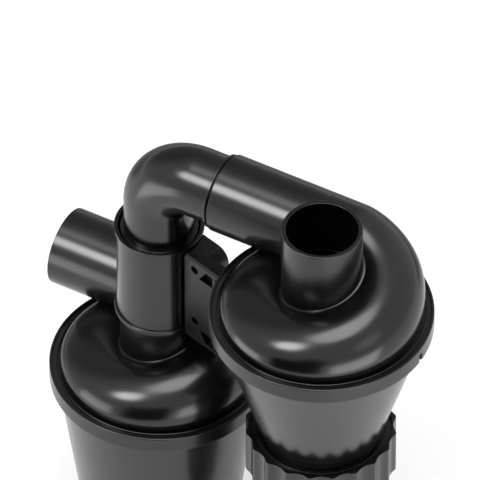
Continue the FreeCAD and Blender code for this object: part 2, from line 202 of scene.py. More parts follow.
# ---- Studio ----
# Directions are seen from the object: degrees to the right of the camera, and degrees above the
# horizon. A lobe has a half-width and a soft edge, in degrees.
FLOOR_REACH = 15.0
FLOOR_LEVEL = -0.1 * MM       # just under the bases, so that no two faces share a plane
FLOOR_GLOW = 0.45
WALL_GLOW = 0.8
BACK_SHADE = ((-160, 22), 18, 35, 0.52)    # direction, half-width, soft edge and depth
DARK_CARD = ((-20, 4), 12, 10)             # direction, half-width and soft edge
LAMPS = [
    ((-30, 84), 16, 6, 5.0),      # overhead: direction, half-width, soft edge and strength
    ((-61, 47), 3, 11, 12.5),     # key, on the left
    ((42, 30), 8, 8, 0.8),        # weak fill, on the right
]
HORIZON_GLOW = 1.0
HORIZON_BAND = 0.02
PANEL_DISTANCE = 0.6
PANELS = [
    (-74, 17, 0.27, 2.7),         # heading, half-width in degrees, height and radiance
    (31, 21, 0.28, 3.2),
]
CARD = (-23, 23, 0.46, 0.68)      # heading, half-width in degrees, height and distance
FLOOR_SHADE = (180, 3.4, 2.8, 3.1, 0.35)   # heading, distance, core, edge and glow
PATCH_SIDES = 48
CLEAR_OF_FLOOR = 4 * MM


def width(node):
    low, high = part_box(node)
    return high.x - low.x


def axis_of(node):
    low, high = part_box(node)
    return (low + high) / 2


STAGES = ("first_stage", "second_stage")
TUBE_R = width("first_stage_outlet_tube") / 2
BORE_R = TUBE_R - TUBE_WALL
ELBOW_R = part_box("elbow")[1].y
JAR_R = width("cone_flange") / 2
COLLAR_R = width("collar_nut") / 2
SLEEVE_R = width("coupling_sleeve") / 2
BRACKET_TURN = math.atan2(axis_of("collar_nut").y, axis_of("collar_nut").x)
MIDDLE = (cad_box[0] + cad_box[1]) / 2


# ---- Materials ----
def add_node(tree, kind, **settings):
    node = tree.nodes.new(kind)
    for name, value in settings.items():
        setattr(node, name, value)
    return node


def noise(tree, place, scale, detail, roughness=0.5):
    node = add_node(tree, "ShaderNodeTexNoise")
    node.inputs["Scale"].default_value = scale
    node.inputs["Detail"].default_value = detail
    node.inputs["Roughness"].default_value = roughness
    tree.links.new(place, node.inputs["Vector"])
    return node.outputs["Fac"]


def ramp(tree, value, start, end, low=0.0, high=1.0, kind="LINEAR"):
    """A value that runs from low to high between a start and an end."""
    node = add_node(tree, "ShaderNodeMapRange", interpolation_type=kind)
    ends = {"From Min": start, "From Max": end, "To Min": low, "To Max": high}
    for name, number in ends.items():
        node.inputs[name].default_value = number
    tree.links.new(value, node.inputs["Value"])
    return node.outputs["Result"]


def spread(tree, value, low, high):
    """A noise value, stretched over a range."""
    return ramp(tree, value, NOISE_LOW, NOISE_HIGH, low, high)


def grey(value):
    return value, value, value


def grey_mix(tree, value, dark, light):
    """A colour that a value takes from dark to light."""
    node = add_node(tree, "ShaderNodeMix", data_type="RGBA")
    node.inputs[6].default_value = (*dark, 1)
    node.inputs[7].default_value = (*light, 1)
    tree.links.new(value, node.inputs["Factor"])
    return node.outputs[2]


def bump(tree, height, strength, distance, under=None):
    node = add_node(tree, "ShaderNodeBump")
    node.inputs["Strength"].default_value = strength
    node.inputs["Distance"].default_value = distance
    tree.links.new(height, node.inputs["Height"])
    if under:
        tree.links.new(under, node.inputs["Normal"])
    return node.outputs["Normal"]


def dress(tree, shader, colour, roughness, relief):
    tree.links.new(colour, shader.inputs["Base Color"])
    tree.links.new(roughness, shader.inputs["Roughness"])
    tree.links.new(relief, shader.inputs["Normal"])


def blank_material(name):
    material = bpy.data.materials.new(name)
    material.use_nodes = True
    tree = material.node_tree
    shader = tree.nodes["Principled BSDF"]
    place = add_node(tree, "ShaderNodeTexCoord").outputs["Object"]
    return material, tree, shader, place


def moulded_plastic(name, light, smooth, rough, grain, index=1.55):
    """Black plastic: a faint flow pattern in its colour and gloss, over a fine moulded grain."""
    material, tree, shader, place = blank_material(name)
    flow = noise(tree, place, FLOW_SCALE, 4)
    speckle = noise(tree, place, GRAIN_SCALE, 3)
    waves = noise(tree, place, WAVE_SCALE, 2)
    colour = grey_mix(tree, spread(tree, flow, 0, 1), grey(DARKEST), grey(light))
    broad = bump(tree, waves, WAVE_STRENGTH, WAVE_DEPTH)
    relief = bump(tree, speckle, grain, GRAIN_DEPTH, broad)
    dress(tree, shader, colour, spread(tree, flow, smooth, rough), relief)
    shader.inputs["IOR"].default_value = index
    return material


def seal_rubber():
    """Dull black rubber with a powdery mottle."""
    material, tree, shader, place = blank_material("seal_rubber")
    mottle = noise(tree, place, scale=260, detail=5, roughness=0.6)
    colour = grey_mix(tree, spread(tree, mottle, 0, 1), grey(0.012), (0.028, 0.027, 0.026))
    powder = bump(tree, mottle, strength=0.3, distance=0.1 * MM)
    dress(tree, shader, colour, spread(tree, mottle, low=0.62, high=0.8), powder)
    return material


def screw_steel():
    """Blackened steel, mottled with wear."""
    material, tree, shader, place = blank_material("screw_steel")
    wear = noise(tree, place, scale=700, detail=4)
    colour = grey_mix(tree, spread(tree, wear, 0, 1), grey(0.008), (0.03, 0.03, 0.032))
    pits = bump(tree, wear, strength=0.2, distance=0.05 * MM)
    dress(tree, shader, colour, spread(tree, wear, low=0.3, high=0.5), pits)
    shader.inputs["Metallic"].default_value = 1.0
    return material


GLOSS = moulded_plastic("gloss_plastic", light=0.0025, smooth=0.18, rough=0.23, grain=0.06)
SATIN = moulded_plastic("satin_plastic", light=0.003, smooth=0.22, rough=0.28, grain=0.15)
DULL = moulded_plastic("dull_plastic", light=0.003, smooth=0.26, rough=0.32, grain=0.12, index=1.4)
RUBBER = seal_rubber()
STEEL = screw_steel()
FINISHES = {
    "black_plastic": GLOSS,
    "satin_plastic": SATIN,
    "seal_rubber": RUBBER,
    "screw_steel": STEEL,
}


# ---- Shapes ----
def rounded(corners, steps=4):
    """An outline from (radius, height, rounding) corners, with each rounding as an arc."""
    outline = []
    for i, (r, z, size) in enumerate(corners):
        here = Vector((r, z))
        if size == 0:
            outline.append(here)
            continue
        before = (Vector(corners[i - 1][:2]) - here).normalized()
        after = (Vector(corners[(i + 1) % len(corners)][:2]) - here).normalized()
        half = before.angle(after) / 2
        centre = here + (before + after).normalized() * size / math.sin(half)
        start = here + before * size / math.tan(half) - centre
        end = here + after * size / math.tan(half) - centre
        first = math.atan2(start.y, start.x)
        turn = math.remainder(math.atan2(end.y, end.x) - first, math.tau)
        for s in range(steps + 1):
            angle = first + turn * s / steps
            outline.append(centre + size * Vector((math.cos(angle), math.sin(angle))))
    return outline


def stand(centre):
    """Puts a shape's axis upright over a centre."""
    return Matrix.Translation((centre.x, centre.y, 0))


def along_x(start):
    """Lays a shape's axis along +X from a point."""
    return Matrix.Translation(start) @ Matrix.Rotation(math.pi / 2, 4, "Y")


def add_rings(shape, rings, closed):
    """Joins rings of points with quads; when closed, the last ring joins the first."""
    loops = [[shape.verts.new(point) for point in ring] for ring in rings]
    pairs = list(zip(loops, loops[1:]))
    if closed:
        pairs.append((loops[-1], loops[0]))
    for low, high in pairs:
        for i in range(len(low)):
            after = (i + 1) % len(low)
            shape.faces.new((low[i], low[after], high[after], high[i]))


def add_sheet(shape, rows):
    """An open sheet of quads through rows of points."""
    grid = [[shape.verts.new(point) for point in row] for row in rows]
    for near, far in zip(grid, grid[1:]):
        for i in range(len(near) - 1):
            shape.faces.new((near[i], near[i + 1], far[i + 1], far[i]))


def add_turned(shape, outline, place, sides=TURNED_SIDES, closed=True):
    """A solid of revolution. An open outline starts and ends on the axis."""
    rings = []
    for r, z in outline:
        ring = []
        for i in range(sides):
            angle = math.tau * i / sides
            ring.append(place @ Vector((r * math.cos(angle), r * math.sin(angle), z)))
        rings.append(ring)
    add_rings(shape, rings, closed)


def add_block(shape, outline, depth):
    """A flat outline pushed through by a depth."""
    front = [shape.verts.new(point) for point in outline]
    back = [shape.verts.new(point + depth) for point in outline]
    shape.faces.new(front)
    shape.faces.new(back[::-1])
    for i in range(len(front)):
        after = (i + 1) % len(front)
        shape.faces.new((front[i], back[i], back[after], front[after]))


def tidy(shape, gap=CLOSE):
    """Joins doubled points and turns the faces outwards."""
    bmesh.ops.remove_doubles(shape, verts=shape.verts, dist=gap)
    bmesh.ops.recalc_face_normals(shape, faces=shape.faces)


def mesh_of(shape, name):
    mesh = bpy.data.meshes.new(name)
    shape.to_mesh(mesh)
    shape.free()
    return mesh


def put(name, data):
    """A new object in the scene."""
    item = bpy.data.objects.new(name, data)
    bpy.context.scene.collection.objects.link(item)
    return item


def show(name, mesh, slot, *nodes, finish=None):
    """Puts in a mesh as a finished piece that stands for CAD nodes."""
    piece = put(name, mesh)
    mesh.materials.clear()
    mesh.materials.append(finish or FINISHES[slot])
    mesh.shade_smooth()
    mesh.set_sharp_from_angle(angle=math.radians(SHARP_ANGLE))
    level = piece.modifiers.new("even_normals", "WEIGHTED_NORMAL")
    level.keep_sharp = True
    level.weight = NORMAL_WEIGHT
    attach(piece, "root")
    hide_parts(*nodes)
    return piece


def turned_piece(name, outline, place, slot, *nodes, closed=True):
    shape = bmesh.new()
    add_turned(shape, outline, place, closed=closed)
    tidy(shape)
    return show(name, mesh_of(shape, name), slot, *nodes)


def settled(mesh, name, *changes):
    """A mesh after modifiers, given as functions that add one to its object."""
    holder = put(name, mesh)
    for change in changes:
        change(holder)
    bpy.context.view_layer.update()
    ready = holder.evaluated_get(bpy.context.evaluated_depsgraph_get())
    result = bpy.data.meshes.new_from_object(ready)
    bpy.data.objects.remove(holder)
    result.name = name
    return result


def new_cutter(name, outline, depth):
    """A block that cuts its shape out of another."""
    shape = bmesh.new()
    add_block(shape, outline, depth)
    tidy(shape)
    return put(name, mesh_of(shape, name))


def cut_mesh(mesh, name, cutters):
    """A mesh with cutters taken out of it; the cutters are then removed."""

    def cut_out(holder):
        for cutter in cutters:
            cut = holder.modifiers.new(cutter.name, "BOOLEAN")
            cut.object = cutter
            cut.operation = "DIFFERENCE"
            cut.solver = "EXACT"

    result = settled(mesh, name, cut_out)
    for cutter in cutters:
        bpy.data.objects.remove(cutter)
    return result


# ---- Roof and inlet tube, moulded in one ----
class Stage:
    """Where a stage's parts are, read from the CAD boxes."""

    def __init__(self, name):
        self.name = name
        low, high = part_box(name + "_clamp_band")
        self.axis = (low + high) / 2
        self.rim = high.z
        self.rim_r = (high.x - low.x) / 2
        self.band_low = low.z
        low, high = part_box(name + "_inlet_tube")
        self.mouth = low.x
        self.tube_y = (low.y + high.y) / 2
        self.tube_z = (low.z + high.z) / 2
        low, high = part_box(name + "_roof")
        self.crest = high.z - self.rim
        self.foot = low.z - self.rim
        self.roof_mid = self.tube_y - self.axis.y
        self.roof_r = self.roof_mid + TUBE_R

    def at(self, x, y, z):
        """A point about the stage's axis and rim plane."""
        return Vector((self.axis.x + x, self.axis.y + y, self.rim + z))


def roof_height(stage, turn):
    started = turn * (1 - math.exp(-turn / ROOF_START))
    return ROOF_LOW + (stage.crest - ROOF_LOW) * (1 - started) ** ROOF_POWER


def lean(z):
    """How far the roof draws in at a height, by a smooth curve that ends at full width."""
    share = min(1.0, max(0.0, 1 - z / FOOT_LEAN_RISE))
    return FOOT_LEAN * share ** 2


def roof_profile(stage, turn, angle):
    """Distance from the axis and height of the roof at an angle round its arch."""
    top = roof_height(stage, turn)
    rise = min(top, TUBE_R)
    z = top - rise + rise * math.sin(angle)
    drawn_in = lean(z) * max(0.0, math.cos(angle))
    return stage.roof_mid + TUBE_R * math.cos(angle) - drawn_in, z


def roof_point(stage, turn, r, z):
    """A point of the roof; where it would come into the inlet tube, it stays in the tube's wall."""
    heading = math.pi / 2 - math.tau * turn
    x = r * math.cos(heading)
    y = r * math.sin(heading)
    inside_r = TUBE_R - TUBE_WALL / 2
    across = y - stage.roof_mid
    if turn > 0.5 and x < 0 and abs(across) < inside_r:
        tube_z = stage.tube_z - stage.rim
        z = min(z, tube_z - math.sqrt(inside_r ** 2 - across ** 2))
    return stage.at(x, y, z)


def arch_end(stage, x):
    """Angle round the inlet tube where it meets the outlet tube, at a distance before the axis."""
    seat = TUBE_R + ROOF_CUT
    if abs(x) >= seat:
        return math.pi
    edge = (math.sqrt(seat ** 2 - x ** 2) - stage.roof_mid) / TUBE_R
    return math.acos(max(-1.0, edge))


def neck_start(stage):
    """Where the inlet tube, coming along +X, first meets the outlet tube."""
    return -math.sqrt((TUBE_R + ROOF_CUT) ** 2 - (stage.roof_mid - TUBE_R) ** 2)


def neck_rows(stage):
    """The inlet tube's last stretch, which opens round the outlet tube."""
    start = neck_start(stage)
    tube_z = stage.tube_z - stage.rim
    rows = []
    for i in range(NECK_STATIONS + 1):
        x = start * (1 - i / NECK_STATIONS)
        end = arch_end(stage, x)
        row = []
        for k in range(-TUBE_SIDES // 2, TUBE_SIDES // 2 + 1):
            angle = end * k / (TUBE_SIDES // 2)
            y = stage.roof_mid + TUBE_R * math.cos(angle)
            row.append(stage.at(x, y, tube_z + TUBE_R * math.sin(angle)))
        rows.append(row)
    return rows


def roof_rows(stage):
    end = arch_end(stage, 0)
    rows = []
    for i in range(ROOF_STATIONS + 1):
        turn = i / ROOF_STATIONS
        arch_foot = roof_profile(stage, turn, 0)[1]
        row = []
        for k in range(FOOT_STEPS):
            z = stage.foot + (arch_foot - stage.foot) * k / FOOT_STEPS
            row.append(roof_point(stage, turn, stage.roof_r - lean(z), z))
        for k in range(TUBE_SIDES // 2 + 1):
            r, z = roof_profile(stage, turn, end * k / (TUBE_SIDES // 2))
            row.append(roof_point(stage, turn, r, z))
        rows.append(row)
    return rows


def give_wall(holder):
    wall = holder.modifiers.new("wall", "SOLIDIFY")
    wall.thickness = ROOF_WALL
    wall.offset = -1
    wall.use_even_offset = True


def add_fillet(shape, stage):
    """A hollow-faced ring that follows the roof round the outlet tube's foot."""
    sections = []
    inner_r = TUBE_R - ROOF_CUT
    outer_r = TUBE_R + FILLET_REACH
    angle = math.acos((outer_r - stage.roof_mid) / TUBE_R)
    for i in range(ROOF_STATIONS + 1):
        turn = i / ROOF_STATIONS
        edge_z = roof_profile(stage, turn, angle)[1]
        foot_z = roof_profile(stage, turn, arch_end(stage, 0))[1]
        top_z = max(foot_z, edge_z - FILLET_RISE) + FILLET_RISE
        points = [(inner_r, foot_z - FILLET_SINK)]
        for s in range(FILLET_STEPS + 1):
            bend = math.pi / 2 * s / FILLET_STEPS
            r = outer_r - (outer_r - inner_r) * math.sin(bend)
            z = edge_z + (top_z - edge_z) * (1 - math.cos(bend))
            points.append((r, z))
        sections.append([roof_point(stage, turn, r, z) for r, z in points])
    add_rings(shape, sections, False)
    shape.faces.new([shape.verts.new(point) for point in sections[0]])
    shape.faces.new([shape.verts.new(point) for point in sections[-1][::-1]])


def add_step_wall(shape, stage):
    """The upright wall under the inlet tube's end, which shuts the roof's tall end."""
    tube_z = stage.tube_z - stage.rim
    seat_r = TUBE_R - TUBE_WALL / 2
    end = arch_end(stage, 0)
    side_y = stage.roof_r - ROOF_WALL / 2
    outline = [stage.at(0, side_y, stage.foot), stage.at(0, side_y, tube_z)]
    steps = TUBE_SIDES // 2
    for k in range(steps + 1):
        angle = -end * k / steps
        y = stage.roof_mid + seat_r * math.cos(angle)
        outline.append(stage.at(0, y, max(stage.foot, tube_z + seat_r * math.sin(angle))))
    outline.append(stage.at(0, outline[-1].y - stage.axis.y, stage.foot))
    add_block(shape, outline, Vector((ROOF_WALL, 0, 0)))


def add_inlet(shape, stage):
    """The inlet tube's straight stretch, with its socket."""
    length = stage.axis.x + neck_start(stage) - stage.mouth
    ledge_r = BORE_R - SOCKET_STEP
    outline = rounded([
        (ledge_r, SOCKET_DEPTH, 0),
        (BORE_R, SOCKET_DEPTH, 0),
        (BORE_R, 0, INNER_LIP_ROUND),
        (TUBE_R, 0, INNER_LIP_ROUND),
        (TUBE_R, length, 0),
        (ledge_r, length, 0),
    ])
    start = Vector((stage.mouth, stage.tube_y, stage.tube_z))
    add_turned(shape, outline, along_x(start), TUBE_SIDES)


def roof_piece(stage):
    """The roof's skin, given its wall, with the parts moulded on to it."""
    skin = bmesh.new()
    add_sheet(skin, neck_rows(stage))
    add_sheet(skin, roof_rows(stage))
    tidy(skin, SEAM)
    crest = max(skin.faces, key=lambda face: face.calc_center_median().z)
    crest.normal_update()
    if crest.normal.z < 0:
        bmesh.ops.reverse_faces(skin, faces=skin.faces)
    walled = settled(mesh_of(skin, "roof_skin"), "roof_shell", give_wall)
    extras = bmesh.new()
    add_inlet(extras, stage)
    add_fillet(extras, stage)
    add_step_wall(extras, stage)
    tidy(extras)
    shape = bmesh.new()
    shape.from_mesh(walled)
    shape.from_mesh(mesh_of(extras, "roof_extras"))
    node = stage.name + "_roof"
    name = node + "_shell"
    return show(name, mesh_of(shape, name), "black_plastic", node, stage.name + "_inlet_tube")


def outlet_piece(stage):
    node = stage.name + "_outlet_tube"
    low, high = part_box(node)
    ledge_r = BORE_R - SOCKET_STEP
    outline = rounded([
        (ledge_r, low.z, EDGE_ROUND),
        (TUBE_R, low.z, EDGE_ROUND),
        (TUBE_R, high.z, LIP_ROUND),
        (BORE_R, high.z, INNER_LIP_ROUND),
        (BORE_R, high.z - SOCKET_DEPTH, 0),
        (ledge_r, high.z - SOCKET_DEPTH, 0),
    ])
    return turned_piece(node + "_shell", outline, stand(stage.axis), "black_plastic", node)


# ---- Rim ----
def band_outline(stage):
    r = stage.rim_r
    inner_r = r - BAND_WALL
    low = stage.band_low
    top = stage.rim
    return rounded([
        (inner_r - BAND_FOOT, low, EDGE_ROUND),
        (r, low, BAND_ROUND),
        (r, top, BAND_ROUND),
        (r - BAND_LIP, top, EDGE_ROUND),
        (r - BAND_LIP, top - BAND_LIP_THICK, EDGE_ROUND),
        (inner_r, top - BAND_LIP_THICK, 0),
        (inner_r, low + BAND_FOOT_THICK, 0),
        (inner_r - BAND_FOOT, low + BAND_FOOT_THICK, EDGE_ROUND),
    ])


def band_piece(stage):
    """The clamp band, with the notch in its side, which runs down to its lower edge."""
    shape = bmesh.new()
    add_turned(shape, band_outline(stage), stand(stage.axis))
    tidy(shape)
    x = stage.axis.x + stage.rim_r - NOTCH_DEPTH
    outline = []
    for side, rise in SQUARE:
        y = stage.axis.y + side * NOTCH_WIDTH / 2
        outline.append(Vector((x, y, stage.band_low + rise * NOTCH_HEIGHT)))
    notch = new_cutter("notch", outline, Vector((NOTCH_CUT, 0, 0)))
    node = stage.name + "_clamp_band"
    mesh = cut_mesh(mesh_of(shape, node), node + "_ring", [notch])
    return show(node + "_ring", mesh, "satin_plastic", node)


def flange_piece(stage):
    """The lid's flange, with the ridge that stands in the groove round the roof."""
    node = stage.name + "_lid_flange"
    low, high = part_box(node)
    outer_r = width(node) / 2
    inner_r = stage.roof_r - ROOF_WALL
    plate_top = stage.rim + stage.foot
    plate_r = stage.rim_r - BAND_LIP - LIP_GAP
    raised = stage.rim - PLATE_DROP
    ridge_r = stage.roof_r + RIDGE_GAP
    outline = rounded([
        (inner_r, low.z, 0),
        (outer_r, low.z, 0),
        (outer_r, plate_top, 0),
        (plate_r, plate_top, 0),
        (plate_r, raised, EDGE_ROUND / 2),
        (ridge_r + RIDGE_WIDTH, raised, 0),
        (ridge_r + RIDGE_WIDTH, high.z, RIDGE_ROUND),
        (ridge_r, high.z, RIDGE_ROUND),
        (ridge_r, plate_top, 0),
        (inner_r, plate_top, 0),
    ])
    return turned_piece(node + "_ring", outline, stand(stage.axis), "satin_plastic", node)


# ---- Bodies ----
def wall_piece(node, low_r, wall):
    """A tapered wall between the heights of its CAD node."""
    low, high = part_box(node)
    high_r = width(node) / 2
    outline = rounded([
        (low_r - wall, low.z, EDGE_ROUND),
        (low_r, low.z, EDGE_ROUND),
        (high_r, high.z, EDGE_ROUND),
        (high_r - wall, high.z, EDGE_ROUND),
    ])
    return turned_piece(node + "_shell", outline, stand(axis_of(node)), "black_plastic", node)


def plate_piece(node):
    """A round floor plate with an eased lower edge."""
    low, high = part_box(node)
    r = width(node) / 2
    outline = rounded([(0, low.z, 0), (r, low.z, EDGE_ROUND), (r, high.z, 0), (0, high.z, 0)])
    place = stand(axis_of(node))
    return turned_piece(node + "_plate", outline, place, "black_plastic", node, closed=False)


def hoop_piece(node, wall_low_r, wall_high_r):
    """A hoop round a wall, whose radius is given at the hoop's lower and upper edge."""
    low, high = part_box(node)
    r = width(node) / 2
    outline = rounded([
        (wall_low_r, low.z, 0),
        (r, low.z, HOOP_ROUND),
        (r, high.z, HOOP_ROUND),
        (wall_high_r, high.z, 0),
    ])
    return turned_piece(node + "_ring", outline, stand(axis_of(node)), "satin_plastic", node)


def bodies():
    """Both stages' tapered walls, the jar, the floor plates and the hoops."""
    base_r = width("first_stage_base") / 2
    top_r = width("first_stage_body") / 2
    jar_r = width("dust_jar_base") / 2
    low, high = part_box("first_stage_body")
    slope = (top_r - base_r) / high.z
    hoop_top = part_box("first_stage_hoop")[1].z
    wall_piece("first_stage_body", base_r + slope * low.z, BODY_WALL)
    wall_piece("second_stage_cone", CONE_NECK, BODY_WALL)
    wall_piece("dust_jar_wall", jar_r, JAR_WALL)
    plate_piece("first_stage_base")
    plate_piece("dust_jar_base")
    hoop_piece("first_stage_hoop", base_r, base_r + slope * hoop_top)
    hoop_piece("dust_jar_hoop", jar_r, jar_r)


# ---- Elbow and sleeve ----
def bend_frame(turn):
    """Centre line and sideways direction of the elbow after part of its quarter turn."""
    axis_z = axis_of("elbow_stop").z
    low_z = axis_z - ELBOW_BEND
    centre = Vector((ELBOW_BEND * (1 - math.cos(turn)), 0, low_z + ELBOW_BEND * math.sin(turn)))
    return centre, Vector((math.cos(turn), 0, -math.sin(turn)))


def elbow_stations():
    """Centre and sideways direction along the elbow, from its lower end to its far one."""
    low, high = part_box("elbow")
    stations = []
    for s in range(BEND_STEPS + 1):
        stations.append(bend_frame(math.pi / 2 * s / BEND_STEPS))
    start_side = stations[0][1]
    end, end_side = stations[-1]
    stations.insert(0, (Vector((0, 0, low.z)), start_side))
    stations.append((Vector((high.x, 0, end.z)), end_side))
    return stations


def pipe_ring(station, r):
    """A ring of points square to the elbow's centre line."""
    centre, side = station
    points = []
    for i in range(TURNED_SIDES):
        angle = math.tau * i / TURNED_SIDES
        out = math.cos(angle) * side + math.sin(angle) * Vector((0, 1, 0))
        points.append(centre + r * out)
    return points


def elbow_piece():
    """The elbow's pipe, with the cuff by which it sits in the sleeve."""
    stations = elbow_stations()
    rings = [pipe_ring(station, ELBOW_R) for station in stations]
    rings += [pipe_ring(station, ELBOW_R - ELBOW_WALL) for station in stations[::-1]]
    shape = bmesh.new()
    add_rings(shape, rings, True)
    cuff_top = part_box("coupling_sleeve")[1].z - CUFF_DROP
    cuff_low = cuff_top - CUFF_LENGTH
    seat_r = ELBOW_R - ELBOW_WALL / 2
    cuff = rounded([
        (seat_r, cuff_low, 0),
        (CUFF_R, cuff_low, EDGE_ROUND),
        (CUFF_R, cuff_top, EDGE_ROUND),
        (seat_r, cuff_top, 0),
    ])
    add_turned(shape, cuff, Matrix.Identity(4))
    tidy(shape)
    return show("elbow_pipe", mesh_of(shape, "elbow_pipe"), "black_plastic", "elbow")


def stop_piece():
    """The ring on the elbow that the second inlet tube stops against."""
    low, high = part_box("elbow_stop")
    r = (high.z - low.z) / 2 + STOP_PROUD
    outline = rounded([
        (ELBOW_R, 0, 0),
        (r, 0, EDGE_ROUND),
        (r, STOP_WIDTH, EDGE_ROUND),
        (ELBOW_R, STOP_WIDTH, 0),
    ])
    start_x = high.x - STOP_GAP - STOP_WIDTH
    start = Vector((start_x, (low.y + high.y) / 2, (low.z + high.z) / 2))
    return turned_piece("elbow_stop_ring", outline, along_x(start), "black_plastic", "elbow_stop")


def sleeve_piece():
    """The sleeve, with a bead at each end and a groove in its upper edge."""
    low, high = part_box("coupling_sleeve")
    wall_r = SLEEVE_R - SLEEVE_BEAD
    bore_r = wall_r - SLEEVE_WALL
    land_r = SLEEVE_R - SLEEVE_GROOVE
    ridge_r = land_r - SLEEVE_GROOVE
    slant = SLEEVE_GROOVE / 4
    groove_z = high.z - SLEEVE_GROOVE_DROP
    fine = EDGE_ROUND / 2
    outline = rounded([
        (bore_r, low.z, EDGE_ROUND),
        (SLEEVE_R, low.z, SLEEVE_BEAD_ROUND),
        (SLEEVE_R, low.z + SLEEVE_LOW_BEAD, SLEEVE_BEAD_ROUND),
        (wall_r, low.z + SLEEVE_LOW_BEAD, fine),
        (wall_r, high.z - SLEEVE_TOP_BEAD, fine),
        (SLEEVE_R, high.z - SLEEVE_TOP_BEAD, SLEEVE_BEAD_ROUND),
        (SLEEVE_R, high.z, SLEEVE_TOP_ROUND),
        (land_r, high.z, fine),
        (land_r - slant, groove_z, 0),
        (ridge_r + slant, groove_z, 0),
        (ridge_r, high.z, fine),
        (bore_r + SLEEVE_SEAT, high.z, fine),
        (bore_r, high.z - SLEEVE_SEAT_DROP, fine),
    ], steps=6)
    return turned_piece("coupling_sleeve_tube", outline, stand(axis_of("coupling_sleeve")),
                        "black_plastic", "coupling_sleeve")


# ---- Geometry Nodes ----
def new_tree(name, **inputs):
    """A Geometry Nodes tree with a geometry in and out, and named inputs."""
    tree = bpy.data.node_groups.new(name, "GeometryNodeTree")
    tree.interface.new_socket("Geometry", in_out="INPUT", socket_type="NodeSocketGeometry")
    for label, kind in inputs.items():
        tree.interface.new_socket(label, in_out="INPUT", socket_type="NodeSocket" + kind)
    tree.interface.new_socket("Geometry", in_out="OUTPUT", socket_type="NodeSocketGeometry")
    start = tree.nodes.new("NodeGroupInput")
    return tree, {socket.name: socket for socket in start.outputs}


def plug(tree, socket, value):
    """Feeds an input from another node, or sets it."""
    if isinstance(value, bpy.types.NodeSocket):
        tree.links.new(value, socket)
    else:
        socket.default_value = value


def maths(tree, operation, *values):
    """A maths node's result."""
    node = add_node(tree, "ShaderNodeMath", operation=operation)
    for socket, value in zip(node.inputs, values):
        plug(tree, socket, value)
    return node.outputs[0]


def use_tree(holder, tree, values):
    """Puts a tree on an object and sets its inputs by their identifiers."""
    step = holder.modifiers.new(tree.name, "NODES")
    step.node_group = tree
    for item in tree.interface.items_tree:
        if item.in_out == "INPUT" and item.name in values:
            step[item.identifier] = values[item.name]


def end_tree(tree, geometry, material):
    """Makes instances real and sets their material, as a tree's last steps."""
    realize = tree.nodes.new("GeometryNodeRealizeInstances")
    finish = tree.nodes.new("GeometryNodeSetMaterial")
    out = tree.nodes.new("NodeGroupOutput")
    tree.links.new(geometry, realize.inputs[0])
    tree.links.new(realize.outputs[0], finish.inputs["Geometry"])
    tree.links.new(material, finish.inputs["Material"])
    tree.links.new(finish.outputs[0], out.inputs[0])


def tooth_tree():
    """Draws a turned ring in to a toothed outline: teeth with crowned tips, and hollows between."""
    tree, given = new_tree(
        "collar_teeth", Teeth="Int", Phase="Float", Tip="Float", Valley="Float",
        HalfTooth="Float", Crown="Float", Level="Float", Material="Material")
    place = tree.nodes.new("GeometryNodeInputPosition").outputs[0]
    split = tree.nodes.new("ShaderNodeSeparateXYZ")
    tree.links.new(place, split.inputs[0])
    x, y, z = split.outputs
    tip, valley = given["Tip"], given["Valley"]

    def calc(operation, *values):
        return maths(tree, operation, *values)

    radius = calc("SQRT", calc("ADD", calc("MULTIPLY", x, x), calc("MULTIPLY", y, y)))
    angle = calc("SUBTRACT", calc("ARCTAN2", y, x), given["Phase"])
    half_pitch = calc("DIVIDE", calc("DIVIDE", math.tau, given["Teeth"]), 2.0)
    off_tooth = calc("PINGPONG", angle, half_pitch)
    in_tooth = calc("DIVIDE", off_tooth, given["HalfTooth"])
    crown = calc("MULTIPLY", given["Crown"], calc("MULTIPLY", in_tooth, in_tooth))
    tip_r = calc("SUBTRACT", tip, crown)
    past = calc("SUBTRACT", half_pitch, off_tooth)
    hollow = calc("DIVIDE", past, calc("SUBTRACT", half_pitch, given["HalfTooth"]))
    depth = calc("SUBTRACT", calc("SUBTRACT", tip, given["Crown"]), valley)
    hollow_rise = calc("MULTIPLY", depth, calc("MULTIPLY", hollow, hollow))
    hollow_r = calc("ADD", valley, hollow_rise)
    on_tooth = calc("LESS_THAN", in_tooth, 1.0)
    step_out = calc("MULTIPLY", on_tooth, calc("SUBTRACT", tip_r, hollow_r))
    outline = calc("ADD", step_out, hollow_r)
    eased = calc("MINIMUM", calc("SUBTRACT", radius, tip), 0.0)
    upper = calc("GREATER_THAN", z, given["Level"])
    limit = calc("ADD", outline, calc("MULTIPLY", eased, upper))
    near_side = calc("GREATER_THAN", radius, calc("SUBTRACT", valley, TOOTH_REACH))
    target = calc("MINIMUM", radius, limit)
    change = calc("MULTIPLY", near_side, calc("SUBTRACT", target, radius))
    factor = calc("ADD", 1.0, calc("DIVIDE", change, radius))
    joined = tree.nodes.new("ShaderNodeCombineXYZ")
    plug(tree, joined.inputs[0], calc("MULTIPLY", x, factor))
    plug(tree, joined.inputs[1], calc("MULTIPLY", y, factor))
    plug(tree, joined.inputs[2], z)
    move = tree.nodes.new("GeometryNodeSetPosition")
    tree.links.new(given["Geometry"], move.inputs["Geometry"])
    tree.links.new(joined.outputs[0], move.inputs["Position"])
    end_tree(tree, move.outputs[0], given["Material"])
    return tree


